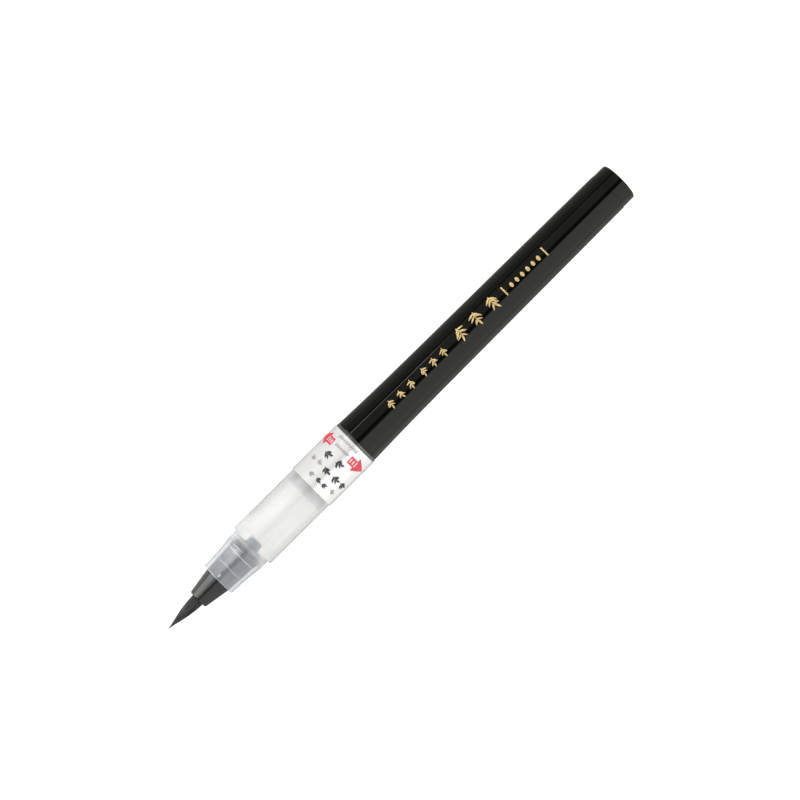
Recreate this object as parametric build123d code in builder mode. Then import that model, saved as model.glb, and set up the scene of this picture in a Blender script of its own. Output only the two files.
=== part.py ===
from build123d import *
import os

# Cartridge brush pen. It lies along X with the point of its brush at -X and its tail at +X.
# The origin is on the pen's axis, halfway along it. All sizes are in millimetres.
# A name that ends in _at is a distance along the axis, measured from the point of the brush.

# Lengths of what shows from outside, from the point to the tail
pen_length = 157.4
brush_out = 10.65
cone_out = 6.95
collar_length = 9.3
neck_length = 2.55
cap_seat_length = 20.3
label_zone_length = 15.2
joint_gap = 0.75
plug_out = 3.95

# Outer radii
brush_radius = 1.70
lip_radius = 2.58
cone_radius_at_collar = 3.70
collar_front_radius = 4.74
collar_mid_radius = 4.93
collar_heel_radius = 5.43
neck_radius = 5.40
cap_seat_radius = 6.27
label_zone_radius = 6.45
label_thickness = 0.08
joint_ring_radius = 6.41
barrel_front_radius = 6.32
barrel_waist_radius = 5.85
barrel_tail_radius = 5.43
plug_radius = 5.32

# Gaps between pieces
press = 0.02  # around a piece that is pressed in
slip = 0.10  # around a piece that turns or slides
face_gap = 0.05  # between end faces that meet
same_place = 0.01  # how near two positions are when they count as one

# Stations that several pieces share
collar_at = brush_out + cone_out
neck_at = collar_at + collar_length
seat_at = neck_at + neck_length
label_zone_at = seat_at + cap_seat_length
sleeve_end_at = label_zone_at + label_zone_length
barrel_at = sleeve_end_at + joint_gap
barrel_end_at = pen_length - plug_out
barrel_waist_at = 88.4  # where the flare at the barrel's front has run out

# Brush: the bristles bend about a pivot just inside the mouth of the nib cone
pivot_at = brush_out + 0.4
brush_outline = [(2.0, 0.36), (4.0, 0.83), (6.0, 1.25), (8.0, 1.52)]  # stations and radii
brush_point_slope = 0.16
tuft_bore_radius = brush_radius + slip
tuft_base_at = 18.0
tuft_base_end_at = 19.0
tuft_base_radius = 2.10

# Feed needle, which brings the ink into the middle of the bristles
needle_at = 15.0
needle_head_at = 31.4
needle_end_at = 32.9
needle_radius = 0.42
needle_head_radius = 1.20
needle_point_length = 0.8
groove_count = 3
groove_width = 0.14
groove_height = 0.3

# Retainer that holds the brush in the cone
retainer_end_at = 30.9
retainer_radius = 1.92
retainer_bore_radius = 0.60
retainer_chamfer = 0.3

# Nib cone: its mouth outside and its heel inside the collar
mouth_radius = 2.20
throat_at = brush_out + 1.8
lip_round = 0.22
cone_heel_at = 25.9
cone_heel_radius = 4.12
flange_radius = 4.27
flange_end_at = 27.9

# Collar: its front part grips the cone, a step leaves air around the rest, and a spigot goes into the sleeve
collar_step_at = 21.5
collar_air = 0.12
collar_round = 0.3
collar_spigot_end_at = 28.8
collar_spigot_radius = 4.76

# Inside of the sleeve
ledge_at = 29.0
ledge_end_at = 29.7
ledge_bore_radius = 2.3
clamp_outer_radius = 3.6
clamp_inner_radius = 3.0
seat_bore_radius = 5.30
socket_at = 48.2
socket_radius = 5.45
seat_round = 0.25

# Ink collector in the sleeve: a tube, the comb in it, and the nipple that closes it
tube_at = 31.2
tube_end_at = 47.2
tube_radius = seat_bore_radius - press
tube_bore_radius = 4.30
tube_wall_end_at = 32.2
tube_chamfer = 0.25
comb_at = needle_end_at + face_gap
fin_count = 14
fin_pitch = 0.92
fin_thickness = 0.42
fin_radius = tube_bore_radius - press
comb_end_at = comb_at + fin_count * fin_pitch
comb_core_radius = 1.7
air_slot_width = 0.4
air_slot_depth = 2.0
nipple_flange_end_at = socket_at - face_gap
nipple_foot_radius = 2.4
nipple_radius = 1.60
nipple_tip_radius = 1.25
nipple_tip_length = 0.5
nipple_end_at = 53.8
wick_at = 42.0
wick_end_at = 54.6
wick_radius = 0.85
wick_chamfer = 0.15

# Label film around the sleeve, whose two ends leave a narrow seam
label_margin = 0.15
label_seam = 0.5

# Screw joint between sleeve and barrel: a right-hand thread of two starts
thread_starts = 2
thread_lead = 4.0
thread_at = 50.6
thread_length = 12.0
thread_root_width = 1.1
thread_crest_width = 0.7
thread_bite = 0.15  # how deep the foot of a ridge sits in its wall
male_root_radius = 5.05
male_crest_radius = 5.33
female_crest_radius = 5.17

# Joint ring, barrel and tail plug
joint_ring_at = sleeve_end_at + face_gap
joint_ring_end_at = barrel_at - face_gap
ring_round = 0.12
barrel_spigot_at = 48.5
barrel_bore_radius = 4.35
rib_at = 74.0
rib_length = 22.0
rib_width = 0.8
rib_tip_radius = 4.02
rib_count = 4
spigot_lead_depth = 0.25
spigot_lead_length = 0.6
barrel_front_round = 0.15
barrel_tail_round = 0.08
plug_at = 146.5
plug_spigot_radius = barrel_bore_radius - press
plug_lead_depth = 0.3
plug_lead_length = 0.6
plug_bore_radius = 3.4
plug_floor = 1.6
plug_round = 0.55

# Ink cartridge
cartridge_at = 49.4
cartridge_shoulder_at = 52.8
mouth_front_radius = 2.7
mouth_neck_radius = 2.9
mouth_grip_length = 2.4
mouth_clearance = 0.3
mouth_plug_length = 1.6
mouth_plug_bore_radius = 2.3
cartridge_tube_at = 53.5
cartridge_end_at = 88.5
cartridge_radius = 3.90
cartridge_bore_radius = 3.20
cartridge_wall = 0.9
cartridge_round = 0.6
ball_at = 57.6
ball_radius = 1.5
ink_at = 55.4
ink_end_at = 83.0


def x_of(station):
    """The X coordinate of a station."""
    return station - pen_length / 2


def under(station, radius):
    """A point of a half section, which lies under the axis and so puts the turned faces' seams there."""
    return (x_of(station), -radius)


def turned(*points, mode=Mode.ADD):
    """Revolves the outline through these (station, radius) points about the pen's axis."""
    with BuildSketch(Plane.XZ) as half_section:
        with BuildLine():
            Polyline(*[under(station, radius) for station, radius in points], close=True)
        make_face()
    revolve(half_section.sketch, axis=Axis.X, mode=mode)


def ring(start, end, outer, inner, mode=Mode.ADD):
    """Turns a plain tube, or a disc where the inner radius is 0."""
    turned((start, inner), (start, outer), (end, outer), (end, inner), mode=mode)


def rim(piece, station, radius):
    """The round edge of a piece at one station, with this radius."""
    circles = piece.edges().filter_by(GeomType.CIRCLE)
    here = circles.filter_by(lambda edge: abs(edge.center().X - x_of(station)) < same_place)
    return here.filter_by(lambda edge: abs(edge.radius - radius) < same_place)


def cone_radius(station):
    """The outer radius of the nib cone inside the collar."""
    share = (station - collar_at) / (cone_heel_at - collar_at)
    return cone_radius_at_collar + share * (cone_heel_radius - cone_radius_at_collar)


def thread_ridges(wall_radius, crest_radius, turned_by):
    """The ridges of a thread that stands out of, or into, a round wall."""
    outward = 1 if crest_radius > wall_radius else -1
    height = abs(crest_radius - wall_radius)
    ridges = []
    for start in range(thread_starts):
        path = Helix(thread_lead, thread_length, wall_radius)
        with BuildPart() as ridge:
            with BuildSketch(Plane(origin=path @ 0, x_dir=(1, 0, 0), z_dir=path % 0)):
                with BuildLine():
                    Polyline(
                        (-outward * thread_bite, -thread_root_width / 2),
                        (outward * height, -thread_crest_width / 2),
                        (outward * height, thread_crest_width / 2),
                        (-outward * thread_bite, thread_root_width / 2),
                        close=True,
                    )
                make_face()
            sweep(path=path, is_frenet=True)
        along_the_pen = Location((x_of(thread_at), 0, 0), (0, 90, 0))
        ridges.append(along_the_pen * Rotation(0, 0, turned_by + start * 360 / thread_starts) * ridge.part)
    return ridges


os.makedirs("parts", exist_ok=True)

# Bristles that bend: a tapering point with a ball-shaped root
with BuildPart() as bristle_tip:
    with BuildSketch(Plane.XZ):
        with BuildLine():
            Spline(
                under(0, 0),
                *[under(station, radius) for station, radius in brush_outline],
                under(pivot_at, brush_radius),
                tangents=[(1, -brush_point_slope), (1, 0)],
            )
            RadiusArc(under(pivot_at, brush_radius), under(pivot_at + brush_radius, 0), -brush_radius)
            Line(under(pivot_at + brush_radius, 0), under(0, 0))
        make_face()
    revolve(axis=Axis.X)
bristle_tip.part.label = "bristle_tip"
export_step(bristle_tip.part, "parts/bristle_tip.step")

# Bristles held in the cone, around the point of the feed needle
with BuildPart() as tuft_root:
    ring(pivot_at + brush_radius + slip, tuft_base_at, tuft_bore_radius - press, 0)
    ring(needle_at - slip, tuft_base_at, needle_radius + press, 0, mode=Mode.SUBTRACT)
tuft_root.part.label = "tuft_root"
export_step(tuft_root.part, "parts/tuft_root.step")

# Disc into which the ends of the bristles are melted
with BuildPart() as tuft_base:
    ring(tuft_base_at, tuft_base_end_at, tuft_base_radius, needle_radius + press)
tuft_base.part.label = "tuft_base"
export_step(tuft_base.part, "parts/tuft_base.step")

# Nib cone with its flared mouth and its flange
with BuildPart() as nib_cone:
    turned(
        (brush_out, mouth_radius),
        (brush_out, lip_radius),
        (collar_at, cone_radius_at_collar),
        (cone_heel_at, cone_heel_radius),
        (cone_heel_at, flange_radius),
        (flange_end_at, flange_radius),
        (flange_end_at, retainer_radius + press),
        (tuft_base_end_at + press, retainer_radius + press),
        (tuft_base_end_at + press, tuft_base_radius + press),
        (tuft_base_at, tuft_base_radius + press),
        (tuft_base_at, tuft_bore_radius),
        (throat_at, tuft_bore_radius),
    )
    fillet(rim(nib_cone, brush_out, lip_radius), lip_round)
nib_cone.part.label = "nib_cone"
export_step(nib_cone.part, "parts/nib_cone.step")

# Retainer tube behind the brush
with BuildPart() as tuft_retainer:
    ring(tuft_base_end_at + press, retainer_end_at, retainer_radius, retainer_bore_radius)
    chamfer(rim(tuft_retainer, retainer_end_at, retainer_radius), retainer_chamfer)
tuft_retainer.part.label = "tuft_retainer"
export_step(tuft_retainer.part, "parts/tuft_retainer.step")

# Feed needle with its ink grooves
with BuildPart() as feed_needle:
    turned(
        (needle_at, 0),
        (needle_at + needle_point_length, needle_radius),
        (needle_head_at, needle_radius),
        (needle_head_at, needle_head_radius),
        (needle_end_at, needle_head_radius),
        (needle_end_at, 0),
    )
    with BuildSketch(Plane.YZ.offset(x_of(needle_at))):
        with PolarLocations(needle_radius, groove_count):
            Rectangle(groove_height, groove_width)
    extrude(amount=needle_end_at - needle_at, mode=Mode.SUBTRACT)
feed_needle.part.label = "feed_needle"
export_step(feed_needle.part, "parts/feed_needle.step")

# Clear collar around the cone
with BuildPart() as collar:
    with BuildSketch(Plane.XZ):
        with BuildLine():
            ThreePointArc(
                under(collar_at, collar_front_radius),
                under((collar_at + neck_at) / 2, collar_mid_radius),
                under(neck_at, collar_heel_radius),
            )
            Polyline(
                under(neck_at, collar_heel_radius),
                under(neck_at, collar_spigot_radius),
                under(collar_spigot_end_at, collar_spigot_radius),
                under(collar_spigot_end_at, flange_radius + press),
                under(cone_heel_at - press, flange_radius + press),
                under(cone_heel_at - press, cone_radius(cone_heel_at) + collar_air),
                under(collar_step_at, cone_radius(collar_step_at) + collar_air),
                under(collar_step_at, cone_radius(collar_step_at) + press),
                under(collar_at, cone_radius_at_collar + press),
                under(collar_at, collar_front_radius),
            )
        make_face()
    revolve(axis=Axis.X)
    fillet(rim(collar, collar_at, collar_front_radius), collar_round)
collar.part.label = "collar"
export_step(collar.part, "parts/collar.step")

# Sleeve: neck, cap seat and label zone in one piece, with the female thread
female_ridges = thread_ridges(socket_radius, female_crest_radius, turned_by=90)
with BuildPart() as sleeve:
    turned(
        (neck_at + face_gap, collar_spigot_radius + press),
        (neck_at + face_gap, neck_radius),
        (seat_at, neck_radius),
        (seat_at, cap_seat_radius),
        (label_zone_at, cap_seat_radius),
        (label_zone_at, label_zone_radius),
        (sleeve_end_at, label_zone_radius),
        (sleeve_end_at, socket_radius),
        (socket_at, socket_radius),
        (socket_at, seat_bore_radius),
        (ledge_end_at, seat_bore_radius),
        (ledge_end_at, ledge_bore_radius),
        (ledge_at, ledge_bore_radius),
        (ledge_at, clamp_inner_radius),
        (flange_end_at + face_gap, clamp_inner_radius),
        (flange_end_at + face_gap, clamp_outer_radius),
        (ledge_at, clamp_outer_radius),
        (ledge_at, collar_spigot_radius + press),
    )
    fillet(rim(sleeve, seat_at, cap_seat_radius), seat_round)
    add(female_ridges)
sleeve.part.label = "sleeve"
export_step(sleeve.part, "parts/sleeve.step")

# Collector tube, closed in front around the head of the feed needle
with BuildPart() as collector_tube:
    turned(
        (tube_at, needle_head_radius + press),
        (tube_at, tube_radius),
        (tube_end_at, tube_radius),
        (tube_end_at, tube_bore_radius),
        (tube_wall_end_at, tube_bore_radius),
        (tube_wall_end_at, needle_head_radius + press),
    )
    chamfer(rim(collector_tube, tube_at, tube_radius), tube_chamfer)
collector_tube.part.label = "collector_tube"
export_step(collector_tube.part, "parts/collector_tube.step")

# Comb feed: fins that hold spare ink, an air slot past them, and the seat of the wick
with BuildPart() as comb_feed:
    ring(comb_at, comb_end_at, comb_core_radius, 0)
    for fin in range(fin_count):
        fin_at = comb_at + fin * fin_pitch
        ring(fin_at, fin_at + fin_thickness, fin_radius, 0)
    ring(wick_at, comb_end_at, wick_radius + press, 0, mode=Mode.SUBTRACT)
    with BuildSketch(Plane.YZ.offset(x_of(comb_at))):
        with Locations((0, fin_radius - air_slot_depth / 2)):
            Rectangle(air_slot_width, air_slot_depth + slip)
    extrude(amount=comb_end_at - comb_at, mode=Mode.SUBTRACT)
comb_feed.part.label = "comb_feed"
export_step(comb_feed.part, "parts/comb_feed.step")

# Nipple: it closes the collector tube and opens the cartridge
with BuildPart() as nipple:
    turned(
        (comb_end_at + face_gap, wick_radius + press),
        (comb_end_at + face_gap, fin_radius),
        (tube_end_at + press, fin_radius),
        (tube_end_at + press, tube_radius),
        (nipple_flange_end_at, tube_radius),
        (nipple_flange_end_at, nipple_foot_radius),
        (cartridge_at - face_gap, nipple_radius),
        (nipple_end_at - nipple_tip_length, nipple_radius),
        (nipple_end_at, nipple_tip_radius),
        (nipple_end_at, wick_radius + press),
    )
nipple.part.label = "nipple"
export_step(nipple.part, "parts/nipple.step")

# Fibre wick, from the ink through the nipple into the comb
with BuildPart() as wick:
    ring(wick_at + face_gap, wick_end_at, wick_radius, 0)
    chamfer(wick.edges().filter_by(GeomType.CIRCLE), wick_chamfer)
wick.part.label = "wick"
export_step(wick.part, "parts/wick.step")

# Label film around the sleeve, open along its seam
with BuildPart() as label:
    ring(
        label_zone_at + label_margin,
        sleeve_end_at - label_margin,
        label_zone_radius + label_thickness,
        label_zone_radius,
    )
    with BuildSketch(Plane.YZ.offset(x_of(label_zone_at))):
        with Locations((0, -label_zone_radius)):
            Rectangle(label_seam, 4 * label_thickness)
    extrude(amount=label_zone_length, mode=Mode.SUBTRACT)
label.part.label = "label"
export_step(label.part, "parts/label.step")

# Ring that lies loose on the barrel's spigot, between sleeve and barrel
with BuildPart() as joint_ring:
    ring(joint_ring_at, joint_ring_end_at, joint_ring_radius, male_root_radius + slip)
    for end_at in (joint_ring_at, joint_ring_end_at):
        fillet(rim(joint_ring, end_at, joint_ring_radius), ring_round)
joint_ring.part.label = "joint_ring"
export_step(joint_ring.part, "parts/joint_ring.step")

# Barrel: a flared front, a straight taper, a spigot with the male thread, and ribs for the cartridge
taper = (barrel_waist_radius - barrel_tail_radius) / (barrel_end_at - barrel_waist_at)
flare_length = barrel_waist_at - barrel_at
flare_height = barrel_front_radius - barrel_waist_radius - taper * flare_length
mid_flare_radius = barrel_waist_radius + taper * flare_length / 2 + flare_height / 4
rib_height = barrel_bore_radius + thread_bite - rib_tip_radius
male_ridges = thread_ridges(male_root_radius, male_crest_radius, turned_by=0)
with BuildPart() as barrel:
    with BuildSketch(Plane.XZ):
        with BuildLine():
            ThreePointArc(
                under(barrel_at, barrel_front_radius),
                under(barrel_at + flare_length / 2, mid_flare_radius),
                under(barrel_waist_at, barrel_waist_radius),
            )
            Polyline(
                under(barrel_waist_at, barrel_waist_radius),
                under(barrel_end_at, barrel_tail_radius),
                under(barrel_end_at, barrel_bore_radius),
                under(barrel_spigot_at, barrel_bore_radius),
                under(barrel_spigot_at, male_root_radius - spigot_lead_depth),
                under(barrel_spigot_at + spigot_lead_length, male_root_radius),
                under(barrel_at, male_root_radius),
                under(barrel_at, barrel_front_radius),
            )
        make_face()
    revolve(axis=Axis.X)
    fillet(rim(barrel, barrel_at, barrel_front_radius), barrel_front_round)
    fillet(rim(barrel, barrel_end_at, barrel_tail_radius), barrel_tail_round)
    with BuildSketch(Plane.YZ.offset(x_of(rib_at))):
        with PolarLocations(rib_tip_radius + rib_height / 2, rib_count):
            Rectangle(rib_height, rib_width)
    extrude(amount=rib_length)
    add(male_ridges)
barrel.part.label = "barrel"
export_step(barrel.part, "parts/barrel.step")

# Tail plug, hollow in front and pressed into the barrel
with BuildPart() as tail_plug:
    turned(
        (plug_at, plug_bore_radius),
        (plug_at, plug_spigot_radius - plug_lead_depth),
        (plug_at + plug_lead_length, plug_spigot_radius),
        (barrel_end_at + face_gap, plug_spigot_radius),
        (barrel_end_at + face_gap, plug_radius),
        (pen_length, plug_radius),
        (pen_length, 0),
        (pen_length - plug_floor, 0),
        (pen_length - plug_floor, plug_bore_radius),
    )
    fillet(rim(tail_plug, pen_length, plug_radius), plug_round)
tail_plug.part.label = "tail_plug"
export_step(tail_plug.part, "parts/tail_plug.step")

# Cartridge mouth, pressed into the cartridge tube and pushed onto the nipple
with BuildPart() as cartridge_mouth:
    turned(
        (cartridge_at, nipple_radius + press),
        (cartridge_at, mouth_front_radius),
        (cartridge_shoulder_at, mouth_neck_radius),
        (cartridge_shoulder_at, cartridge_radius),
        (cartridge_tube_at - press, cartridge_radius),
        (cartridge_tube_at - press, cartridge_bore_radius - press),
        (cartridge_tube_at + mouth_plug_length, cartridge_bore_radius - press),
        (cartridge_tube_at + mouth_plug_length, mouth_plug_bore_radius),
        (cartridge_shoulder_at, nipple_radius + mouth_clearance),
        (cartridge_at + mouth_grip_length, nipple_radius + press),
    )
cartridge_mouth.part.label = "cartridge_mouth"
export_step(cartridge_mouth.part, "parts/cartridge_mouth.step")

# Cartridge tube with its closed end
with BuildPart() as cartridge_tube:
    turned(
        (cartridge_tube_at, cartridge_bore_radius),
        (cartridge_tube_at, cartridge_radius),
        (cartridge_end_at, cartridge_radius),
        (cartridge_end_at, 0),
        (cartridge_end_at - cartridge_wall, 0),
        (cartridge_end_at - cartridge_wall, cartridge_bore_radius),
    )
    fillet(rim(cartridge_tube, cartridge_end_at, cartridge_radius), cartridge_round)
cartridge_tube.part.label = "cartridge_tube"
export_step(cartridge_tube.part, "parts/cartridge_tube.step")

# Ball that sealed the new cartridge and now floats in the ink
with BuildPart() as seal_ball:
    with Locations((x_of(ball_at), 0, 0)):
        Sphere(ball_radius)
seal_ball.part.label = "seal_ball"
export_step(seal_ball.part, "parts/seal_ball.step")

# Ink in the cartridge, with the ball's hollow in it
with BuildPart() as ink_charge:
    ring(ink_at, ink_end_at, cartridge_bore_radius - press, 0)
    with Locations((x_of(ball_at), 0, 0)):
        Sphere(ball_radius + press, mode=Mode.SUBTRACT)
ink_charge.part.label = "ink_charge"
export_step(ink_charge.part, "parts/ink_charge.step")
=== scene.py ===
"""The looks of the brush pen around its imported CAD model. Metres, in the CAD frame: the pen lies along X."""

import math
import random

import bmesh
import bpy
from mathutils import Matrix, Vector
from mathutils.bvhtree import BVHTree


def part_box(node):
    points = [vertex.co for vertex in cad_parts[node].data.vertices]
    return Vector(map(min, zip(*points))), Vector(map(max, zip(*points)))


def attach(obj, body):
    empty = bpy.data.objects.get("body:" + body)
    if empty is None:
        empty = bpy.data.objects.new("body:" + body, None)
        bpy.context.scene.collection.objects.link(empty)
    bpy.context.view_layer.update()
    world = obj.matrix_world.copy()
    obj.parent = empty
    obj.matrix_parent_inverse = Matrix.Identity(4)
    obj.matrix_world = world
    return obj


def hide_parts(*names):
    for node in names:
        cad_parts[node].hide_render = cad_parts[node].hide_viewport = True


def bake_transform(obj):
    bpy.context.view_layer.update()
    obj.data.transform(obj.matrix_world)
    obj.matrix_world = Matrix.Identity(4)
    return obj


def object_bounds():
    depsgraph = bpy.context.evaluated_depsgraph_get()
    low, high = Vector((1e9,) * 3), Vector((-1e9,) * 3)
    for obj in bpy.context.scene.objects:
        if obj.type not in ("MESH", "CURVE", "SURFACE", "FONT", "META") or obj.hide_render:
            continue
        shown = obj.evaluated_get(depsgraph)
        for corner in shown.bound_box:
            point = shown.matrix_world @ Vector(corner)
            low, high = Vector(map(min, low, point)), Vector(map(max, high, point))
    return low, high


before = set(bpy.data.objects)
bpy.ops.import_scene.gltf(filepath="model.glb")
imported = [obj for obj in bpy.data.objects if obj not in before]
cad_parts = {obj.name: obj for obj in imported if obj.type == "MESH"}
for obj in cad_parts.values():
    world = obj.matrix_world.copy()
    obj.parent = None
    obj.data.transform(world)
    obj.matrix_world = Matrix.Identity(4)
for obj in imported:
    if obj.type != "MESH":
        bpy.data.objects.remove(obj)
cad_low, cad_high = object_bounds()

MM = 0.001
PEN_POINT = cad_low.x


def at(station):
    """The X coordinate of a distance in millimetres from the point of the brush."""
    return PEN_POINT + station * MM


# ---------------------------------------------------------------- shapes read from the CAD

RAY_TURN = 0.3  # radians around the pen from its top, where the ray comes in
RAY_START = 0.05  # metres from the axis, outside the pen

_trees = {}


def surface_radius(node, x):
    """The outer radius of a CAD node at x, found by a ray from outside towards the axis."""
    if node not in _trees:
        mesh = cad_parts[node].data
        corners = [vertex.co for vertex in mesh.vertices]
        polygons = [tuple(polygon.vertices) for polygon in mesh.polygons]
        _trees[node] = BVHTree.FromPolygons(corners, polygons)
    outward = Vector((0, math.sin(RAY_TURN), math.cos(RAY_TURN)))
    hit = _trees[node].ray_cast(Vector((x, 0, 0)) + outward * RAY_START, -outward)[0]
    return math.hypot(hit.y, hit.z) if hit else 0.0


def mesh_object(name, vertices, faces, material, smooth=True):
    """A mesh piece with one material, whose faces all point outwards."""
    mesh = bpy.data.meshes.new(name)
    mesh.from_pydata(vertices, [], faces)
    shell = bmesh.new()
    shell.from_mesh(mesh)
    bmesh.ops.recalc_face_normals(shell, faces=shell.faces)
    shell.to_mesh(mesh)
    shell.free()
    mesh.materials.append(material)
    if smooth:
        mesh.shade_smooth()
    piece = bpy.data.objects.new(name, mesh)
    bpy.context.scene.collection.objects.link(piece)
    return piece


# ---------------------------------------------------------------- camera

CAMERA_HEIGHT = 0.640
CAMERA_OVER = 59.3  # station above which the camera stands
CAMERA_AIM = 80.5  # station in the middle of the picture
CAMERA_SIDE = -0.21  # millimetres along Y
PEN_TURN = math.radians(44.81)  # how far the pen's tail is turned up from the picture's right
LENS_MM = 116.7


def make_camera():
    """A long lens looking down on the pen, rolled so that the pen lies along the picture's diagonal."""
    data = bpy.data.cameras.new("camera")
    data.lens = LENS_MM
    data.sensor_width = 36.0
    data.clip_start = 0.01
    data.clip_end = 20.0
    camera = bpy.data.objects.new("camera", data)
    bpy.context.scene.collection.objects.link(camera)
    bpy.context.scene.camera = camera
    eye = Vector((at(CAMERA_OVER), CAMERA_SIDE * MM, CAMERA_HEIGHT))
    aim = Vector((at(CAMERA_AIM), CAMERA_SIDE * MM, 0.0))
    back = (eye - aim).normalized()
    along = (Vector((1, 0, 0)) - back * back.x).normalized()
    across = back.cross(along)
    right = along * math.cos(PEN_TURN) - across * math.sin(PEN_TURN)
    up = along * math.sin(PEN_TURN) + across * math.cos(PEN_TURN)
    turn = Matrix((right, up, back)).transposed().to_4x4()
    camera.matrix_world = Matrix.Translation(eye) @ turn


# ---------------------------------------------------------------- floor, world and lights

FLOOR_GREY = 0.30
FLOOR_GLOW = 0.90
CARD_GREY = 0.42
CARD_HALF = 0.8  # metres, half the card's side
CARD_DEPTH = 1  # millimetres under the floor
STAGE_ROUGHNESS = 0.9
WORLD_LIGHT = 0.035
BACKDROP_RADIUS = 2.5
BACKDROP_RINGS = 24
BACKDROP_SIDES = 96
TAIL_MARGIN = 0.3  # millimetres in front of the barrel's rear end, where it stands on the floor


def floor_line():
    """The floor's height under the origin and its slope. It touches the label and the tail from below."""
    label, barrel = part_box("label"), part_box("barrel")
    tail_z = -surface_radius("barrel", barrel[1].x - TAIL_MARGIN * MM)
    slope = (tail_z - label[0].z) / (barrel[1].x - label[1].x)
    return label[0].z - slope * label[1].x, slope


FLOOR_LEVEL, FLOOR_SLOPE = floor_line()


def floor_height(x):
    """The height of the floor at x."""
    return FLOOR_LEVEL + FLOOR_SLOPE * x


def stage_material(name, grey):
    """A matt grey without gloss, and its shader."""
    material, _, _, shader = new_material(name)
    shader.inputs["Base Color"].default_value = (grey, grey, grey, 1)
    shader.inputs["Roughness"].default_value = STAGE_ROUGHNESS
    shader.inputs["Specular IOR Level"].default_value = 0.0
    return material, shader


def make_backdrop():
    """A pale floor that runs into a dome. Only the camera sees it, so it doesn't light the pen."""
    vertices, faces = [(0, 0, floor_height(0))], []
    rings = [(BACKDROP_RADIUS * (ring + 1) / BACKDROP_RINGS, 0.0) for ring in range(BACKDROP_RINGS)]
    rings += [(BACKDROP_RADIUS * math.cos(lift), BACKDROP_RADIUS * math.sin(lift))
              for lift in (math.pi / 2 * ring / BACKDROP_RINGS for ring in range(1, BACKDROP_RINGS))]
    for radius, rise in rings:
        for side in range(BACKDROP_SIDES):
            turn = 2 * math.pi * side / BACKDROP_SIDES
            x, y = radius * math.cos(turn), radius * math.sin(turn)
            vertices.append((x, y, floor_height(x) + rise))
    vertices.append((0, 0, floor_height(0) + BACKDROP_RADIUS))
    faces += [(0, 1 + side, 1 + (side + 1) % BACKDROP_SIDES) for side in range(BACKDROP_SIDES)]
    for ring in range(len(rings) - 1):
        for side in range(BACKDROP_SIDES):
            here = 1 + ring * BACKDROP_SIDES
            a, b = here + side, here + (side + 1) % BACKDROP_SIDES
            faces.append((a, a + BACKDROP_SIDES, b + BACKDROP_SIDES, b))
    last = 1 + (len(rings) - 1) * BACKDROP_SIDES
    top = len(vertices) - 1
    faces += [(last + side, top, last + (side + 1) % BACKDROP_SIDES) for side in range(BACKDROP_SIDES)]
    material, shader = stage_material("pale_floor", FLOOR_GREY)
    shader.inputs["Emission Color"].default_value = (1, 1, 1, 1)
    shader.inputs["Emission Strength"].default_value = FLOOR_GLOW
    backdrop = mesh_object("backdrop", vertices, faces, material)
    backdrop.visible_diffuse = False
    backdrop.visible_glossy = False
    backdrop.visible_shadow = False


def make_bounce_card():
    """A grey card under the pen that the camera doesn't see. It gives the pen's underside its light."""
    corners = []
    for side_x, side_y in ((-1, -1), (1, -1), (1, 1), (-1, 1)):
        x, y = side_x * CARD_HALF, side_y * CARD_HALF
        corners.append((x, y, floor_height(x) - CARD_DEPTH * MM))
    material, _ = stage_material("bounce_card", CARD_GREY)
    card = mesh_object("bounce_card", corners, [(0, 1, 2, 3)], material, smooth=False)
    card.visible_camera = False
    card.visible_transmission = False
    card.visible_shadow = False


PANEL_LENGTH = 2.0  # metres
STRIP_TURN = math.radians(48.5)  # how far around the pen from its top the strip stands
STRIP_DISTANCE = 0.45
STRIP_X = 0.021
REFLECTOR_LIFT = 0.5  # millimetres over the floor


def area_light(name, centre, facing, size_x, size_y, radiance, diffuse=True, gloss=True):
    """A soft panel of a given radiance, centred at a point and facing another. Without diffuse it is a
    reflector that only shows in polished surfaces, and without gloss it is a fill light that leaves them
    alone."""
    data = bpy.data.lights.new(name, "AREA")
    data.shape = "RECTANGLE"
    data.size = size_x
    data.size_y = size_y
    data.energy = radiance * math.pi * size_x * size_y
    light = bpy.data.objects.new(name, data)
    look = (Vector(facing) - Vector(centre)).normalized()
    along = (Vector((1, 0, 0)) - look * look.x).normalized()
    side = (-look).cross(along)
    light.matrix_world = Matrix.Translation(centre) @ Matrix((along, side, -look)).transposed().to_4x4()
    light.visible_camera = False
    light.visible_diffuse = diffuse
    light.visible_glossy = gloss
    bpy.context.scene.collection.objects.link(light)


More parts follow.
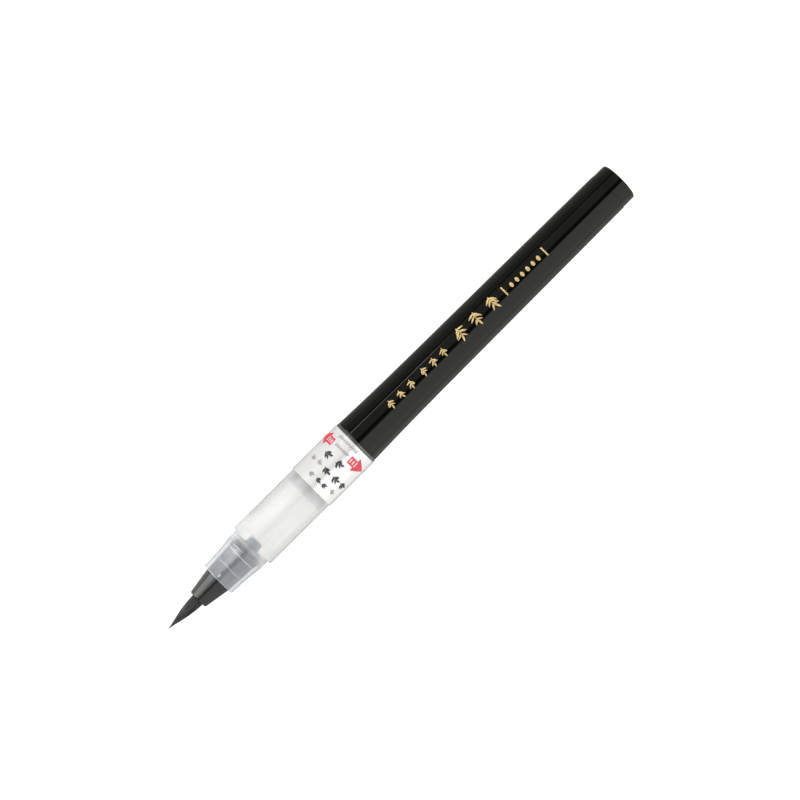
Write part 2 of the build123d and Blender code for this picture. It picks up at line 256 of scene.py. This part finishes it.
def make_lights():
    """Soft panels on both sides of the camera with a dark gap between them, two fill lights, a narrow strip
    that draws the streak on the barrel, and reflectors: three off the brush's end that only the front of the
    pen mirrors, and two on the floor."""
    panel = PANEL_LENGTH
    area_light("panel_right_inner", (0, -0.128, 0.55), (0, -0.128, 0), panel, 0.043, 0.88)
    area_light("panel_right_top", (0, -0.45, 0.55), (0, -0.45, 0), panel, 0.60, 1.33)
    area_light("panel_right_side", (0, -0.75, 0.27), (0, 0, 0.27), panel, 0.56, 1.30)
    area_light("panel_left_top", (0, 0.40, 0.55), (0, 0.40, 0), panel, 0.66, 0.39)
    area_light("panel_left_side", (0, 0.75, 0.22), (0, 0, 0.22), panel, 0.44, 0.28)
    strip = (STRIP_X, STRIP_DISTANCE * math.sin(STRIP_TURN), STRIP_DISTANCE * math.cos(STRIP_TURN))
    area_light("strip_left", strip, (STRIP_X, 0, 0), 0.055, 0.030, 2.8)
    area_light("fill_left", (0, 0.65, 0.375), (0, 0, 0), panel, 0.40, 2.68, gloss=False)
    area_light("fill_top", (0, -0.12, 0.72), (0, 0, 0), panel, 0.40, 0.30, gloss=False)
    front = (-0.06, 0, 0)
    area_light("reflector_front", (-0.36, 0.45, 0.24), front, 0.34, 0.52, 4.8, diffuse=False)
    area_light("reflector_front_top", (-0.36, 0.28, 0.60), front, 0.34, 0.34, 2.4, diffuse=False)
    area_light("reflector_collar", (-0.19, 0.40, 0.34), front, 0.16, 0.58, 1.6, diffuse=False)
    low = floor_height(0) + REFLECTOR_LIFT * MM
    for name, x, y, size_x, size_y, radiance in (("right", 0.1, -0.213, 1.6, 0.40, 0.5),
                                                 ("front", -0.175, 0.18, 0.26, 0.34, 1.3)):
        area_light(f"reflector_floor_{name}", (x, y, low), (x, y, 1), size_x, size_y, radiance, diffuse=False)
    world = bpy.data.worlds.new("world")
    bpy.context.scene.world = world
    world.use_nodes = True
    background = world.node_tree.nodes["Background"]
    background.inputs["Color"].default_value = (1, 1, 1, 1)
    background.inputs["Strength"].default_value = WORLD_LIGHT
    bpy.context.scene.view_settings.view_transform = "Standard"


# ---------------------------------------------------------------- materials

def new_material(name):
    """A node material with one Principled shader."""
    material = bpy.data.materials.new(name)
    material.use_nodes = True
    nodes, links = material.node_tree.nodes, material.node_tree.links
    return material, nodes, links, nodes["Principled BSDF"]


def place(nodes, links, stretch=(1, 1, 1)):
    """Object coordinates, which are the CAD frame's metres, stretched along the three axes."""
    coordinates = nodes.new("ShaderNodeTexCoord")
    mapping = nodes.new("ShaderNodeMapping")
    mapping.inputs["Scale"].default_value = stretch
    links.new(coordinates.outputs["Object"], mapping.inputs["Vector"])
    return mapping.outputs["Vector"]


def noise(nodes, links, vector, size_mm, detail=3.0, roughness=0.55):
    """Noise whose features are about size_mm wide."""
    texture = nodes.new("ShaderNodeTexNoise")
    texture.inputs["Scale"].default_value = 1 / (size_mm * MM)
    texture.inputs["Detail"].default_value = detail
    texture.inputs["Roughness"].default_value = roughness
    links.new(vector, texture.inputs["Vector"])
    return texture.outputs["Fac"]


def between(nodes, links, factor, low, high, start=0.3, end=0.7):
    """Maps a factor from start..end to low..high."""
    mapping = nodes.new("ShaderNodeMapRange")
    mapping.inputs["From Min"].default_value = start
    mapping.inputs["From Max"].default_value = end
    mapping.inputs["To Min"].default_value = low
    mapping.inputs["To Max"].default_value = high
    links.new(factor, mapping.inputs["Value"])
    return mapping.outputs["Result"]


def tint(nodes, links, factor, first, second):
    """Mixes two colours by a factor."""
    mix = nodes.new("ShaderNodeMix")
    mix.data_type = "RGBA"
    mix.inputs["A"].default_value = (*first, 1)
    mix.inputs["B"].default_value = (*second, 1)
    links.new(factor, mix.inputs["Factor"])
    return mix.outputs["Result"]


def bump(nodes, links, shader, height, depth_mm, strength=1.0):
    """Raises the surface by up to depth_mm where height is 1."""
    node = nodes.new("ShaderNodeBump")
    node.inputs["Strength"].default_value = strength
    node.inputs["Distance"].default_value = depth_mm * MM
    links.new(height, node.inputs["Height"])
    links.new(node.outputs["Normal"], shader.inputs["Normal"])


def facing_away(nodes):
    """0 where a surface is seen square on, 1 where it is seen along."""
    weight = nodes.new("ShaderNodeLayerWeight")
    weight.inputs["Blend"].default_value = 0.5
    return weight.outputs["Facing"]


def painted_edge_shade(nodes, links, colour, loss):
    """Painted shade: the colour of a see-through wall, darkened by the viewing angle towards its edges, where
    the wall is seen along. Its depth is the share of the colour that is gone where the wall is seen along."""
    cube = combine(nodes, links, "POWER", facing_away(nodes), 3)
    shade = combine(nodes, links, "SUBTRACT", 1, combine(nodes, links, "MULTIPLY", cube, loss))
    mix = nodes.new("ShaderNodeMix")
    mix.data_type = "RGBA"
    mix.blend_type = "MULTIPLY"
    mix.inputs["Factor"].default_value = 1
    links.new(colour, mix.inputs["A"])
    links.new(shade, mix.inputs["B"])
    return mix.outputs["Result"]


GLOSS_SHARE = 0.4  # the size of the gloss's patches, as a share of the colour's


def plastic(name, colour, second, roughness, spread=0.06, grain_mm=0.25, depth_mm=0.004, patch_mm=6.0,
            loss=0.0, **sockets):
    """Moulded plastic: broad patches of two close colours, uneven gloss and a fine grain. The shade depth is
    painted shade for see-through walls, darker towards their edges by the viewing angle, and sockets are
    values for the shader, by its sockets' names."""
    material, nodes, links, shader = new_material(name)
    position = place(nodes, links)
    patches = noise(nodes, links, position, patch_mm, detail=2.0)
    look = tint(nodes, links, between(nodes, links, patches, 0, 1), colour, second)
    # Painted shade: see-through walls get darker towards their edges, by the viewing angle.
    if loss:
        look = painted_edge_shade(nodes, links, look, loss)
    links.new(look, shader.inputs["Base Color"])
    uneven = noise(nodes, links, position, patch_mm * GLOSS_SHARE, detail=4.0)
    gloss = between(nodes, links, uneven, roughness - spread, roughness + spread)
    links.new(gloss, shader.inputs["Roughness"])
    bump(nodes, links, shader, noise(nodes, links, position, grain_mm), depth_mm)
    for socket, value in sockets.items():
        shader.inputs[socket.replace("_", " ")].default_value = value
    return material


def combine(nodes, links, operation, first, second):
    """A math node on two values, each of them a socket or a number."""
    node = nodes.new("ShaderNodeMath")
    node.operation = operation
    for socket, value in zip(node.inputs, (first, second)):
        if isinstance(value, bpy.types.NodeSocket):
            links.new(value, socket)
        else:
            socket.default_value = value
    return node.outputs["Value"]


def from_axis(nodes, links):
    """The distance from the pen's axis, in metres."""
    length = nodes.new("ShaderNodeVectorMath")
    length.operation = "LENGTH"
    links.new(place(nodes, links, (0, 1, 1)), length.inputs[0])
    return length.outputs["Value"]


def along_pen(nodes, links):
    """The X coordinate, in metres."""
    split = nodes.new("ShaderNodeSeparateXYZ")
    links.new(place(nodes, links), split.inputs["Vector"])
    return split.outputs["X"]


CLEAR_IOR = 3.0
FACE_ON, EDGE_ON = 0.12, 0.92  # how far a wall faces away where it starts and stops looking denser
INNER_SHARE = 0.22  # how dense inner faces look, as a share of the outer ones
THIN_SHARE = 0.25  # how dense the thin front of a wall looks, as a share of the rest
THIN_BLEND = 0.4  # millimetres on each side of thin_to
SKIN_BLEND = 0.02  # millimetres on each side of skin_mm
RIDGE_BLEND = 0.04  # millimetres past twice a ring's half width, where the ring has faded out
FLOW_LOW, FLOW_HIGH = 0.95, 1.05  # how much the density varies in streaks along the pen


def clear_plastic(name, colour, second, roughness, face, edge, skin_mm, thin_to=0.0, steps=(), **grain):
    """Milky see-through plastic, whose walls look denser where they are seen along the surface. The alpha
    thins the gloss too, so a high IOR brings it back. Faces nearer the axis than skin_mm are inner ones and
    clearer, and so is the wall in front of station thin_to. Each of the steps is a thicker ring of the wall:
    its station, its half width and how dense it looks."""
    material = plastic(name, colour, second, roughness, spread=0.04, **grain)
    nodes, links = material.node_tree.nodes, material.node_tree.links
    shader = nodes["Principled BSDF"]
    shader.inputs["IOR"].default_value = CLEAR_IOR
    position = along_pen(nodes, links)
    density = between(nodes, links, facing_away(nodes), face, edge, start=FACE_ON, end=EDGE_ON)
    if thin_to:
        thin = between(nodes, links, position, THIN_SHARE * face, face, start=at(thin_to - THIN_BLEND),
                       end=at(thin_to + THIN_BLEND))
        links.new(thin, density.node.inputs["To Min"])
    flow = noise(nodes, links, place(nodes, links, (0.06, 1, 1)), 0.9, detail=2.0)
    streaks = between(nodes, links, flow, FLOW_LOW, FLOW_HIGH)
    density = combine(nodes, links, "MULTIPLY", density, streaks)
    skin = between(nodes, links, from_axis(nodes, links), INNER_SHARE, 1, start=(skin_mm - SKIN_BLEND) * MM,
                   end=(skin_mm + SKIN_BLEND) * MM)
    density = combine(nodes, links, "MULTIPLY", density, skin)
    for station, half_width, strength in steps:
        offset = combine(nodes, links, "SUBTRACT", position, at(station))
        apart = combine(nodes, links, "ABSOLUTE", offset, 0)
        ridge = between(nodes, links, apart, strength, 0, start=half_width * MM,
                        end=(2 * half_width + RIDGE_BLEND) * MM)
        density = combine(nodes, links, "MAXIMUM", density, ridge)
    links.new(density, shader.inputs["Alpha"])
    return material


# Station, half width and density of each thicker ring.
COLLAR_RINGS = ((17.72, 0.06, 0.35), (21.6, 0.06, 0.42), (25.5, 0.06, 0.48), (26.85, 0.06, 0.3))
SLEEVE_RINGS = ((47.7, 0.06, 0.5), (49.0, 0.9, 0.40))
SLEEVE_THIN_TO = 28.1  # station in front of which the sleeve's wall looks thin


def make_materials():
    """One material for each CAD node, by node name."""
    black = plastic("gloss_black", (0.0016, 0.0016, 0.0014), (0.0026, 0.0026, 0.0022), 0.07, spread=0.03,
                    grain_mm=0.9, depth_mm=0.0012, IOR=1.39, Specular_Tint=(1, 1, 0.87, 1))
    return {
        "nib_cone": plastic("satin_cone", (0.010, 0.010, 0.010), (0.014, 0.014, 0.014), 0.22, grain_mm=0.12,
                            depth_mm=0.002, IOR=1.45, Specular_Tint=(1, 1, 0.97, 1)),
        "tuft_base": plastic("melted_nylon", (0.01, 0.01, 0.01), (0.02, 0.02, 0.02), 0.25, grain_mm=0.3,
                             depth_mm=0.05),
        "tuft_retainer": plastic("retainer_blue_grey", (0.10, 0.15, 0.22), (0.32, 0.45, 0.56), 0.35,
                                 patch_mm=1.6),
        "feed_needle": plastic("needle_white", (0.75, 0.76, 0.78), (0.7, 0.71, 0.73), 0.35),
        # The collar's and the sleeve's colours carry painted shade towards their edges, by the viewing angle.
        "collar": clear_plastic("clear_collar", (0.83, 0.87, 0.935), (0.79, 0.84, 0.92), 0.22, face=0.25,
                                edge=0.62, skin_mm=4.55, loss=0.85, steps=COLLAR_RINGS, grain_mm=0.5,
                                depth_mm=0.002),
        "sleeve": clear_plastic("frosted_sleeve", (0.96, 0.953, 0.93), (0.94, 0.935, 0.915), 0.32, face=0.30,
                                edge=0.66, skin_mm=5.35, thin_to=SLEEVE_THIN_TO, steps=SLEEVE_RINGS, loss=0.8,
                                grain_mm=0.35, depth_mm=0.002),
        "collector_tube": plastic("milky_tube", (0.97, 0.968, 0.955), (0.95, 0.95, 0.94), 0.4,
                                  depth_mm=0.001),
        "comb_feed": plastic("white_comb", (0.85, 0.85, 0.85), (0.80, 0.81, 0.82), 0.4),
        "nipple": plastic("pale_nipple", (0.80, 0.83, 0.87), (0.36, 0.41, 0.50), 0.35, patch_mm=4.5),
        "wick": plastic("inked_wick", (0.03, 0.03, 0.035), (0.30, 0.30, 0.32), 0.8, grain_mm=0.08,
                        depth_mm=0.03, patch_mm=0.3),
        "label": plastic("label_film", (0.95, 0.942, 0.92), (0.93, 0.92, 0.90), 0.22, spread=0.04,
                         grain_mm=1.2, depth_mm=0.003, IOR=3.0, Coat_Weight=1.0, Coat_Roughness=0.08,
                         Coat_IOR=1.6),
        "joint_ring": plastic("grey_ring", (0.060, 0.058, 0.055), (0.070, 0.067, 0.063), 0.16, IOR=1.9),
        "barrel": black,
        "tail_plug": black,
        "cartridge_mouth": plastic("cartridge_mouth", (0.78, 0.79, 0.80), (0.72, 0.73, 0.74), 0.35),
        "cartridge_tube": clear_plastic("cartridge_tube", (0.88, 0.90, 0.92), (0.84, 0.86, 0.88), 0.15,
                                        face=0.15, edge=0.6, skin_mm=3.5),
        "seal_ball": plastic("seal_ball", (0.75, 0.75, 0.72), (0.70, 0.70, 0.68), 0.15),
        "ink_charge": plastic("black_ink", (0.003, 0.003, 0.004), (0.004, 0.004, 0.006), 0.06, IOR=1.33),
    }


def dress_cad():
    """Gives each CAD node its material."""
    for name, material in make_materials().items():
        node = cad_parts[name]
        if not node.material_slots:
            node.data.materials.append(material)
        for holder in node.material_slots:
            holder.material = material


# ---------------------------------------------------------------- brush

STRANDS = 760
STRAND_SIDES = 4
STRAND_STEPS = 11
STRAND_WIDTH = 0.075  # millimetres, half of it to each side
TAPER_START = 0.6  # the share of a strand's length after which it gets thinner
TAPER_LOSS = 0.75  # how much of its width a strand loses up to its point
TUFT_BASE = 17.9  # station of the strands' ends in the cone
MOUTH = 10.6  # station from which the bundle stays as thick as the cone's mouth lets it
FINEST = 0.02  # millimetres, the bundle's least radius and the first station where it is measured
SAMPLES_PER_MM = 10  # how finely the bundle's radius is measured along the pen
CORE_SIDES = 20
CORE_STEPS = 24
CORE_POINT = 0.9  # station of the core's front end
CORE_SHARE = 0.86  # the core's radius as a share of the bundle's


def bristle_material():
    """Black synthetic filament, a little lighter or darker from strand to strand."""
    material, nodes, links, shader = new_material("bristles")
    geometry = nodes.new("ShaderNodeNewGeometry")
    uneven = noise(nodes, links, place(nodes, links, (0.07, 1, 1)), 0.55, detail=3.0)
    locks = between(nodes, links, uneven, 0.05, 1.0, start=0.35)
    strand = between(nodes, links, geometry.outputs["Random Per Island"], 0.35, 1.0, start=0, end=1)
    lightness = combine(nodes, links, "MULTIPLY", locks, strand)
    colour = tint(nodes, links, lightness, (0.009, 0.009, 0.008), (0.105, 0.104, 0.098))
    links.new(colour, shader.inputs["Base Color"])
    streaks = noise(nodes, links, place(nodes, links, (0.08, 1, 1)), 0.15, detail=2.0)
    links.new(between(nodes, links, streaks, 0.30, 0.48), shader.inputs["Roughness"])
    shader.inputs["IOR"].default_value = 1.5
    return material


def tuft_radius(station):
    """The radius of the bundle of bristles."""
    low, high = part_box("bristle_tip")
    widest = (high.y - low.y) / 2
    if station >= MOUTH:
        return widest
    return max(surface_radius("bristle_tip", at(max(station, FINEST))), FINEST * MM)


def add_tube(vertices, faces, spots, radii, sides):
    """A solid round bar along a list of points, with a radius at each, closed at both ends."""
    first = len(vertices)
    for spot, radius in zip(spots, radii):
        for side in range(sides):
            angle = 2 * math.pi * side / sides
            vertices.append(spot + Vector((0, math.cos(angle), math.sin(angle))) * radius)
    for step in range(len(spots) - 1):
        for side in range(sides):
            a = first + step * sides + side
            b = first + step * sides + (side + 1) % sides
            faces.append((a, b, b + sides, a + sides))
    last = first + (len(spots) - 1) * sides
    faces.append(tuple(first + side for side in reversed(range(sides))))
    faces.append(tuple(last + side for side in range(sides)))


def add_strand(vertices, faces, rng, radius, rim):
    """One tapering strand from the cone to somewhere near the point. A rim strand lies near the surface."""
    share = rng.uniform(0.93, 1.0) if rim else math.sqrt(rng.random()) * 0.95
    angle = rng.uniform(0, 2 * math.pi)
    end = rng.uniform(0.15, 2.2) if rng.random() < 0.45 else rng.uniform(1.0, 6.5)
    wave = rng.uniform(-0.02, 0.02) * MM
    spots, radii = [], []
    for step in range(STRAND_STEPS + 1):
        part = step / STRAND_STEPS
        station = TUFT_BASE + (end - TUFT_BASE) * part ** 0.85
        reach = max(radius(station) * share - STRAND_WIDTH * 0.5 * MM, 0)
        bend = wave * math.sin(math.pi * 2 * part)
        spots.append(Vector((at(station), reach * math.cos(angle) + bend, reach * math.sin(angle) - bend)))
        taper = max(0, (part - TAPER_START) / (1 - TAPER_START)) ** 1.5
        radii.append(STRAND_WIDTH / 2 * MM * (1 - TAPER_LOSS * taper))
    add_tube(vertices, faces, spots, radii, STRAND_SIDES)


def add_core(vertices, faces, radius):
    """The dark inside of the bundle, which closes the gaps between the strands."""
    stations = [TUFT_BASE + (CORE_POINT - TUFT_BASE) * step / CORE_STEPS for step in range(CORE_STEPS + 1)]
    spots = [Vector((at(station), 0, 0)) for station in stations]
    radii = [radius(station) * CORE_SHARE for station in stations]
    add_tube(vertices, faces, spots, radii, CORE_SIDES)


def make_tuft():
    """The brush: a bundle of tapering strands around a dark core."""
    rng = random.Random(7)
    samples = [tuft_radius(step / SAMPLES_PER_MM) for step in range(int(MOUTH * SAMPLES_PER_MM) + 2)]

    def radius(station):
        return samples[min(round(station * SAMPLES_PER_MM), len(samples) - 1)]

    vertices, faces = [], []
    for strand in range(STRANDS):
        add_strand(vertices, faces, rng, radius, rim=strand % 3 == 0)
    add_core(vertices, faces, radius)
    tuft = mesh_object("brush_tuft", vertices, faces, bristle_material())
    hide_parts("bristle_tip", "tuft_root")
    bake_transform(tuft)


# ---------------------------------------------------------------- print and foil

RIBBON_COLUMNS = 5
RIBBON_SINK = 0.3  # how deep a ribbon goes into the surface, as a share of its height
STROKE_STEPS = 8
STEM_STEPS = 8
FOIL_HEIGHT = 0.015  # millimetres, for foil and for print
RAISED_HEIGHT = 0.028  # millimetres, for print that lies on other print
AROUND = math.radians(90)  # the direction of a stroke that runs around the pen


def ribbon(vertices, faces, line, carrier, height):
    """A thin closed shell on a round surface. Each point of the line is (station, arc, half width), where arc
    is the distance in millimetres around the pen from its top, positive towards -Y."""
    first = len(vertices)
    columns = RIBBON_COLUMNS
    for index, (station, arc, half) in enumerate(line):
        before = line[max(index - 1, 0)]
        after = line[min(index + 1, len(line) - 1)]
        run, rise = after[0] - before[0], after[1] - before[1]
        length = math.hypot(run, rise) or 1.0
        normal = (-rise / length, run / length)
        for level in (0, 1):
            for column in range(columns):
                across = (2 * column / (columns - 1) - 1) * half
                x = at(station + normal[0] * across)
                base = surface_radius(carrier, x)
                turn = (arc + normal[1] * across) * MM / base
                lift = base + (height if level else -RIBBON_SINK * height) * MM
                vertices.append(Vector((x, -lift * math.sin(turn), lift * math.cos(turn))))
    row = 2 * columns
    for index in range(len(line) - 1):
        here, there = first + index * row, first + (index + 1) * row
        for column in range(columns - 1):
            faces.append((here + columns + column, there + columns + column,
                          there + columns + column + 1, here + columns + column + 1))
            faces.append((here + column, here + column + 1, there + column + 1, there + column))
        faces.append((here, there, there + columns, here + columns))
        faces.append((here + columns - 1, here + row - 1, there + row - 1, there + columns - 1))
    for end in (first, first + (len(line) - 1) * row):
        for column in range(columns - 1):
            quad = (end + column, end + columns + column, end + columns + column + 1, end + column + 1)
            faces.append(quad if end == first else tuple(reversed(quad)))


def finer(line, step=0.2):
    """The same line with points no further apart than step."""
    points = [line[0]]
    for start, end in zip(line, line[1:]):
        pieces = max(1, math.ceil(math.dist(start[:2], end[:2]) / step))
        for piece in range(1, pieces + 1):
            part = piece / pieces
            points.append(tuple(s + (e - s) * part for s, e in zip(start, end)))
    return points


def dab(station, arc, length, width, angle):
    """A stroke that swells from a fine start and ends round, as a loaded brush leaves."""
    line = []
    for step in range(STROKE_STEPS + 1):
        part = step / STROKE_STEPS
        half = width / 2 * math.sin(math.pi * min(part * 0.8 + 0.08, 0.93)) ** 0.8
        along = (part - 0.5) * length
        line.append((station + along * math.cos(angle), arc + along * math.sin(angle), half))
    return line


def leaf(station, arc, length, width, angle):
    """A pointed leaf that grows from a spot in a direction."""
    line = []
    for step in range(STROKE_STEPS + 1):
        part = step / STROKE_STEPS
        half = max(width / 2 * math.sin(math.pi * part ** 0.8) ** 0.8, 0.18 * width)
        line.append((station + part * length * math.cos(angle), arc + part * length * math.sin(angle), half))
    return line


def sprig(rng, station, arc, size, width, leaves=(2, 5)):
    """A spray of leaves on both sides of a bent stem, which runs around the pen. No two come out the same."""
    heading = AROUND + rng.uniform(-0.35, 0.35)
    bend = rng.uniform(0.3, 0.9) * rng.choice((-1, 1))
    spot = [station - size * 0.42 * math.cos(heading), arc - size * 0.42 * math.sin(heading)]
    stem, lines = [], []
    for step in range(STEM_STEPS + 1):
        grown = step / STEM_STEPS
        turn = heading + bend * (grown - 0.5)
        stem.append((spot[0], spot[1], width * (0.24 - 0.08 * grown)))
        if step in leaves:
            for side in (-1, 1):
                reach = size * rng.uniform(0.40, 0.56) * (1 - 0.3 * grown)
                breadth = width * rng.uniform(0.8, 1.05)
                lines.append(leaf(*spot, reach, breadth, turn + side * rng.uniform(0.8, 1.15)))
        if step == STEM_STEPS - 1:
            reach = size * rng.uniform(0.36, 0.44)
            lines.append(leaf(*spot, reach, width * 1.05, turn + rng.uniform(-0.2, 0.2)))
        spot[0] += size * 0.6 / STEM_STEPS * math.cos(turn)
        spot[1] += size * 0.6 / STEM_STEPS * math.sin(turn)
    return [stem] + lines


def bar(station, arc, length, width, angle):
    """A plain straight bar."""
    along, across = length / 2 * math.cos(angle), length / 2 * math.sin(angle)
    return finer([(station + side * along, arc + side * across, width / 2) for side in (-1, 1)])


def stamp(name, lines, carrier, body, material, height=FOIL_HEIGHT):
    """One printed or foil-stamped piece made of many lines."""
    vertices, faces = [], []
    for line in lines:
        ribbon(vertices, faces, line, carrier, height)
    piece = mesh_object(name, vertices, faces, material, smooth=False)
    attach(piece, body)


# Stations of the marks on the barrel, and their places around it, in millimetres.
SMALL_SPRIGS = (78.0, 81.6, 85.1, 89.2, 92.8, 96.3)
SMALL_SPRIGS_ARC = -0.6
LARGE_SPRIGS = (102.2, 107.9, 113.5)
LARGE_SPRIGS_ARC = -0.8
GOLD_BARS = (117.3, 131.2)
GOLD_BARS_ARC = -0.7
FIRST_DOT = 119.7
DOT_STEP = 1.85
DOTS = 6
DOTS_ARC = -0.6


def gold_material():
    """Gold foil, a little worn, so that its colour and gloss are uneven."""
    material, nodes, links, shader = new_material("gold_foil")
    position = place(nodes, links)
    worn = noise(nodes, links, position, 0.35, detail=5.0)
    colour = tint(nodes, links, between(nodes, links, worn, 0, 1), (0.93, 0.63, 0.24), (1.0, 0.79, 0.40))
    links.new(colour, shader.inputs["Base Color"])
    links.new(between(nodes, links, worn, 0.45, 0.28), shader.inputs["Roughness"])
    shader.inputs["Metallic"].default_value = 0.55
    bump(nodes, links, shader, noise(nodes, links, position, 0.12), 0.004)
    return material


def make_gold():
    """Gold foil on the barrel: small sprigs, large sprigs, and a row of dots between two bars."""
    rng = random.Random(11)
    lines = []
    for station in SMALL_SPRIGS:
        lines += sprig(rng, station, SMALL_SPRIGS_ARC, 2.8, 0.40)
    for station in LARGE_SPRIGS:
        lines += sprig(rng, station, LARGE_SPRIGS_ARC, 4.4, 0.52, leaves=(1, 3, 6))
    for station in GOLD_BARS:
        lines.append(bar(station, GOLD_BARS_ARC, 2.7, 0.40, AROUND))
    for index in range(DOTS):
        lines.append(dab(FIRST_DOT + index * DOT_STEP, DOTS_ARC, 1.3, 0.95, AROUND))
    stamp("gold_marks", lines, "barrel", "barrel", gold_material())


def ink_material(name, colour, second):
    """Printing ink that lies a little unevenly on the film."""
    material, nodes, links, shader = new_material(name)
    position = place(nodes, links)
    uneven = noise(nodes, links, position, 0.25, detail=4.0)
    look = tint(nodes, links, between(nodes, links, uneven, 0, 1), colour, second)
    links.new(look, shader.inputs["Base Color"])
    links.new(between(nodes, links, uneven, 0.3, 0.45), shader.inputs["Roughness"])
    return material


# Station and place around the pen of each sprig on the label, in millimetres.
BOLD_SPRIGS = ((55.5, 0.0), (55.5, 3.1), (55.6, 6.0), (58.7, -2.8), (58.8, 1.0))
BOLD_SMALL_SPRIGS = ((52.4, 0.1), (52.5, 2.0))
FINE_SPRIGS = ((52.4, -2.3), (52.6, 5.0), (55.6, -2.9), (55.4, -5.2))
DAB_ROWS = ((61.6, -3.3, 8), (63.7, -4.1, 11))  # station, place of the first dab, number of dabs
DAB_STEP = 0.58
DAB_WIDTH = 0.32
DAB_TURN = 0.45  # radians
ARROW_STATION = 61.35
ARROW_STARTS = ((1, 1.8), (-1, 4.3))  # side of the pen, and where the shaft starts
ARROW_SHAFT, ARROW_SHAFT_HALF = 2.1, 1.03  # length and half width, in millimetres
ARROW_HEAD, ARROW_HEAD_HALF = 3.65, 1.95
ARROW_NECK = 0.02  # millimetres in which the shaft widens into the head
ARROW_POINT_HALF = 0.03
ARROW_BARS = 3
BAR_START, BAR_STEP = 0.55, 0.85
BAR_LENGTH, BAR_WIDTH = 1.1, 0.32
LAST_BAR_EXTRA = 0.35  # how much longer the bar on the head is


def make_label_print():
    """Generic print on the label: leaf sprigs in black and grey, and two rows of slanted grey dabs."""
    dark = ink_material("print_dark", (0.03, 0.028, 0.03), (0.06, 0.055, 0.055))
    grey = ink_material("print_grey", (0.28, 0.27, 0.27), (0.36, 0.35, 0.34))
    rng = random.Random(23)
    bold, fine = [], []
    for station, arc in BOLD_SPRIGS:
        bold += sprig(rng, station, arc, 2.8, 0.60)
    for station, arc in BOLD_SMALL_SPRIGS:
        bold += sprig(rng, station, arc, 1.9, 0.42)
    for station, arc in FINE_SPRIGS:
        fine += sprig(rng, station, arc, 1.9, 0.36)
    for station, first, count in DAB_ROWS:
        for index in range(count):
            fine.append(dab(station, first + index * DAB_STEP, rng.uniform(0.8, 1.1), DAB_WIDTH, DAB_TURN))
    stamp("label_print_bold", bold, "label", "grip_section", dark)
    stamp("label_print_fine", fine, "label", "grip_section", grey)


def arrow(side, start):
    """The outline of one arrow that points around the pen, as a ribbon with a half width at each point."""
    neck = start + ARROW_SHAFT
    outline = ((start, ARROW_SHAFT_HALF), (neck, ARROW_SHAFT_HALF), (neck + ARROW_NECK, ARROW_HEAD_HALF),
               (neck + ARROW_HEAD, ARROW_POINT_HALF))
    return finer([(ARROW_STATION, side * arc, half) for arc, half in outline])


def make_arrows():
    """Two red arrows around the pen, with three white bars on each."""
    red = ink_material("print_red", (0.78, 0.045, 0.085), (0.84, 0.07, 0.11))
    white = ink_material("print_white", (0.88, 0.84, 0.83), (0.84, 0.80, 0.79))
    arrows, bars = [], []
    for side, start in ARROW_STARTS:
        arrows.append(arrow(side, start))
        for index in range(ARROW_BARS):
            arc = side * (start + BAR_START + index * BAR_STEP)
            length = BAR_LENGTH + LAST_BAR_EXTRA * (index == ARROW_BARS - 1)
            bars.append(bar(ARROW_STATION, arc, length, BAR_WIDTH, 0))
    stamp("label_arrows", arrows, "label", "grip_section", red)
    stamp("label_arrow_bars", bars, "label", "grip_section", white, height=RAISED_HEIGHT)


# Radius and height over the collar, in millimetres, from the scar's underside over its rim to its middle.
GATE_PROFILE = ((0.0, -0.10), (0.44, -0.10), (0.43, 0.04), (0.36, 0.08), (0.27, 0.03), (0.15, 0.02),
                (0.0, 0.05))
GATE_SIDES = 28
GATE_STATION = 18.75
GATE_ARC = -0.5  # millimetres around the pen from its top
GATE_LONG, GATE_WIDE = 1.15, 0.85  # its stretch along the pen and around it


def make_gate_mark():
    """The round scar on the collar, left where the clear plastic ran into its mould."""
    profile, sides = GATE_PROFILE, GATE_SIDES
    x = at(GATE_STATION)
    base = surface_radius("collar", x)
    turn = GATE_ARC * MM / base
    out = Vector((0, -math.sin(turn), math.cos(turn)))
    round_pen = Vector((0, -math.cos(turn), -math.sin(turn)))
    centre = Vector((x, 0, 0)) + out * base
    vertices = [centre + out * profile[0][1] * MM]
    for radius, height in profile[1:-1]:
        for side in range(sides):
            angle = 2 * math.pi * side / sides
            spot = Vector((1, 0, 0)) * math.cos(angle) * GATE_LONG + round_pen * math.sin(angle) * GATE_WIDE
            vertices.append(centre + spot * radius * MM + out * height * MM)
    vertices.append(centre + out * profile[-1][1] * MM)
    faces = [(0, 1 + (side + 1) % sides, 1 + side) for side in range(sides)]
    for ring in range(len(profile) - 3):
        for side in range(sides):
            a = 1 + ring * sides + side
            b = 1 + ring * sides + (side + 1) % sides
            faces.append((a, b, b + sides, a + sides))
    last = 1 + (len(profile) - 3) * sides
    faces += [(last + side, last + (side + 1) % sides, len(vertices) - 1) for side in range(sides)]
    material = plastic("gate_scar", (0.90, 0.92, 0.95), (0.80, 0.83, 0.88), 0.12, spread=0.05, grain_mm=0.2,
                       IOR=1.6, Alpha=0.35)
    mark = mesh_object("collar_gate_mark", vertices, faces, material)
    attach(mark, "grip_section")


# ---------------------------------------------------------------- the whole scene

make_camera()
make_lights()
make_backdrop()
make_bounce_card()
dress_cad()
make_tuft()
make_gold()
make_label_print()
make_arrows()
make_gate_mark()
